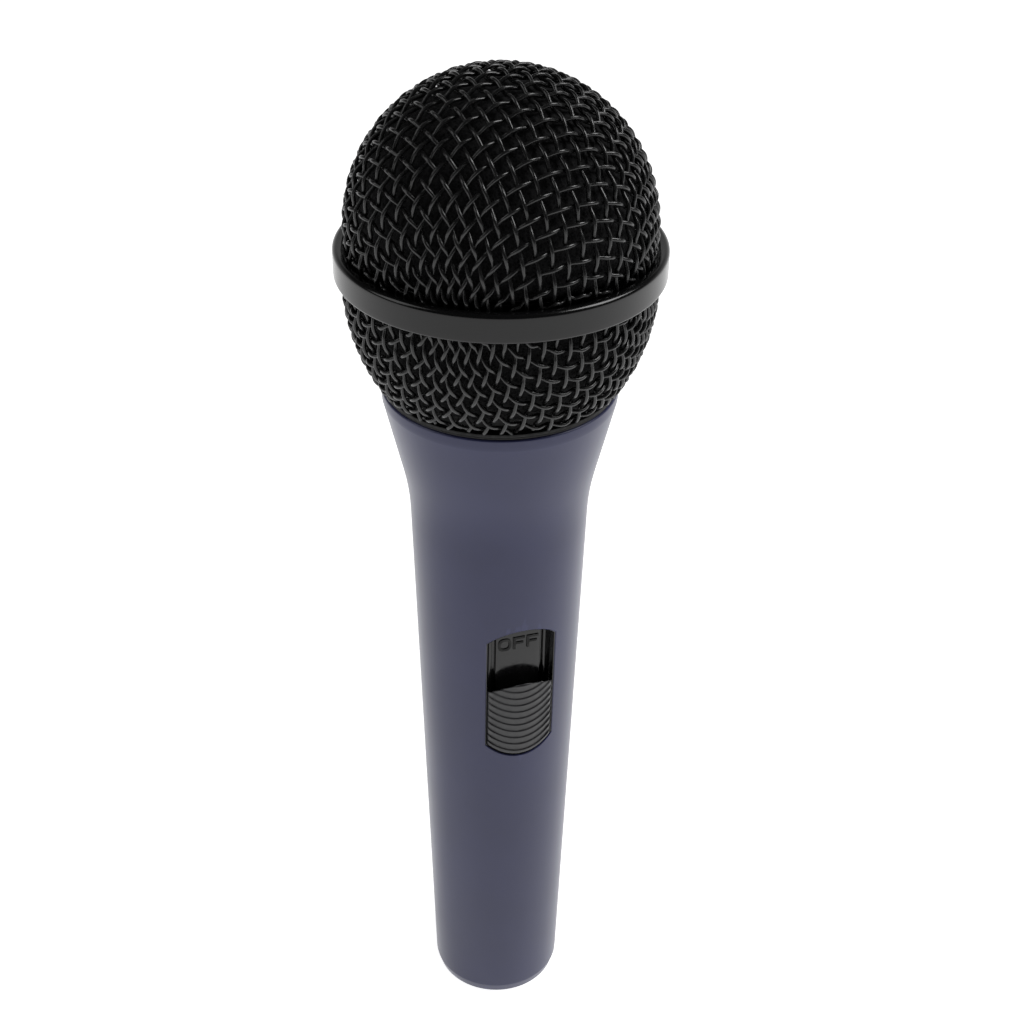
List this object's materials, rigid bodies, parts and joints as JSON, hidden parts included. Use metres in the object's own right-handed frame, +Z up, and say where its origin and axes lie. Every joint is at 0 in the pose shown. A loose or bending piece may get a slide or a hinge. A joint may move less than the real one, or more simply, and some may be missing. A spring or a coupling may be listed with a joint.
{
  "type": "dynamic microphone",
  "caption": "Handheld moving-coil vocal microphone with a round woven grille, a flared tapering handle and a sliding thumb switch.",
  "frame": {"origin": "centre of the flat tail face that the microphone stands on", "axes": "+Z up the handle's axis to the top of the grille; -Y is the side with the thumb switch"},
  "size_m": [0.0516, 0.0516, 0.18],
  "materials": {
    "handle_paint": "satin",
    "grille_steel": "satin",
    "band_black": "satin",
    "black_plastic": "satin",
    "foam": "matte",
    "felt": "matte",
    "rubber": "matte",
    "steel": "satin",
    "nickel": "polished",
    "brass": "satin",
    "copper_wire": "gloss",
    "aluminium": "satin",
    "film": "gloss",
    "board": "satin",
    "fibre_board": "satin",
    "glass_tube": "gloss",
    "capacitor_can": "gloss",
    "wire_red": "satin",
    "wire_black": "satin",
    "wire_bare": "satin"
  },
  "bodies": {
    "handle": {"handle_body": "handle_paint", "connector_insert": "black_plastic", "connector_pin_1": "nickel", "connector_pin_2": "nickel", "connector_pin_3": "nickel", "insert_screw": "steel", "ground_contact": "brass", "switch_tray": "black_plastic", "circuit_board": "board", "board_screw_top": "steel", "board_screw_bottom": "steel", "reed_switch": "glass_tube", "capacitor": "capacitor_can", "mount_ring": "aluminium", "capsule_lead_red": "wire_red", "capsule_lead_black": "wire_black", "output_lead_hot": "wire_red", "output_lead_cold": "wire_black", "ground_lead": "wire_bare"},
    "thumb_switch": {"switch_slider": "black_plastic", "slider_magnet": "nickel", "detent_ball": "steel", "detent_spring": "steel"},
    "capsule": {"capsule_housing": "black_plastic", "capsule_cap": "black_plastic", "cap_cloth": "felt", "diaphragm_ring": "aluminium", "front_plate": "steel", "pole_piece": "steel", "magnet": "nickel", "magnet_cup": "steel", "rear_felt": "felt", "rear_chamber": "black_plastic", "terminal_board": "fibre_board", "terminal_plus": "nickel", "terminal_minus": "nickel", "shock_mount": "rubber"},
    "moving_coil": {"diaphragm": "film", "voice_coil": "copper_wire"},
    "gasket": {"collar_gasket": "rubber"},
    "grille": {"grille_collar": "band_black", "lower_mesh": "grille_steel", "upper_mesh": "grille_steel", "grille_band": "band_black", "clamp_ring": "band_black", "upper_foam": "foam", "lower_foam": "foam"}
  },
  "joints": [
    {"name": "switch_slide", "type": "slide", "parent": "handle", "child": "thumb_switch", "axis": [0, -0.0298, 0.9996], "range_m": [0, 0.0104]},
    {"name": "capsule_float", "type": "slide", "parent": "handle", "child": "capsule", "axis": [0, 0, 1], "range_m": [-0.0006, 0.0006], "stiffness_N_per_m": 3000, "springref_m": 0.00025, "deforming": ["shock_mount"]},
    {"name": "coil_travel", "type": "slide", "parent": "capsule", "child": "moving_coil", "axis": [0, 0, 1], "range_m": [-0.0003, 0.0003], "stiffness_N_per_m": 150, "springref_m": 0.00005},
    {"name": "grille_rise", "type": "slide", "parent": "handle", "child": "gasket", "axis": [0, 0, 1], "range_m": [0, 0.005]},
    {"name": "grille_turn", "type": "hinge", "parent": "gasket", "child": "grille", "pos_m": [0, 0, 0.129], "axis": [0, 0, 1], "range_deg": [0, 1440]}
  ],
  "couplings": [
    {"joint": "grille_rise", "follows": "grille_turn", "m_per_rad": 0.00019894}
  ]
}
